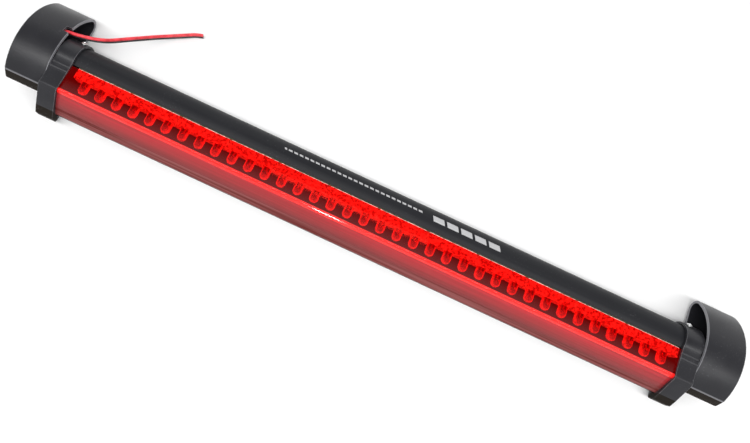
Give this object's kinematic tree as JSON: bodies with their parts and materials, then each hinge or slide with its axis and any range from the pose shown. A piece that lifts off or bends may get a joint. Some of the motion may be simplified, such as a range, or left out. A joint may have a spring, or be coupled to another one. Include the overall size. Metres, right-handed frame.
{
  "type": "third brake light",
  "caption": "Slim add-on third brake light: black housing, clear red lens over a row of LEDs, collared ends, hollow half-round brackets that turn, and a short bare-ended lead.",
  "frame": {"origin": "middle of the bounding box of the lamp and brackets, on the plane of the adhesive pads", "axes": "+X along the lamp towards the right bracket, +Z out of the lens window away from the pads, +Y towards the round back of the housing"},
  "size_m": [0.41, 0.0829, 0.024],
  "materials": {
    "black_plastic": "satin moulded ABS with a fine grain",
    "red_lens": "clear red moulded acrylic",
    "led_resin": "clear red epoxy",
    "white_plastic": "natural white moulded plastic",
    "board_laminate": "green laminate",
    "foam": "closed-cell foam",
    "rubber": "soft black rubber",
    "steel": "zinc plated",
    "nylon": "natural nylon",
    "red_pvc": "flexible insulation",
    "black_pvc": "flexible insulation"
  },
  "bodies": {
    "lamp": {"housing": "black_plastic", "lens": "red_lens", "led_board": "board_laminate", "led_holder": "white_plastic", "led_01": "led_resin", "led_02": "led_resin", "led_03": "led_resin", "led_04": "led_resin", "led_05": "led_resin", "led_06": "led_resin", "led_07": "led_resin", "led_08": "led_resin", "led_09": "led_resin", "led_10": "led_resin", "led_11": "led_resin", "led_12": "led_resin", "led_13": "led_resin", "led_14": "led_resin", "led_15": "led_resin", "led_16": "led_resin", "led_17": "led_resin", "led_18": "led_resin", "led_19": "led_resin", "led_20": "led_resin", "led_21": "led_resin", "led_22": "led_resin", "led_23": "led_resin", "led_24": "led_resin", "led_25": "led_resin", "led_26": "led_resin", "led_27": "led_resin", "led_28": "led_resin", "led_29": "led_resin", "led_30": "led_resin", "led_31": "led_resin", "led_32": "led_resin", "led_33": "led_resin", "led_34": "led_resin", "led_35": "led_resin", "led_36": "led_resin", "left_end_cap": "black_plastic", "right_end_cap": "black_plastic", "left_end_seal": "foam", "right_end_seal": "foam", "left_cap_screw": "steel", "right_cap_screw": "steel", "lead_grommet": "rubber"},
    "left_bracket": {"left_bracket_shell": "black_plastic", "left_pad": "foam", "left_pivot_screw": "steel", "left_pivot_washer": "nylon", "lead_red": "red_pvc", "lead_black": "black_pvc"},
    "right_bracket": {"right_bracket_shell": "black_plastic", "right_pad": "foam", "right_pivot_screw": "steel", "right_pivot_washer": "nylon"}
  },
  "joints": [
    {"name": "left_bracket_tilt", "type": "hinge", "parent": "lamp", "child": "left_bracket", "pos_m": [-0.1845, 0.00105, 0.0114], "axis": [1, 0, 0], "range_deg": [-90, 75]},
    {"name": "right_bracket_tilt", "type": "hinge", "parent": "lamp", "child": "right_bracket", "pos_m": [0.1845, 0.00105, 0.0114], "axis": [1, 0, 0], "range_deg": [-180, 180]}
  ]
}
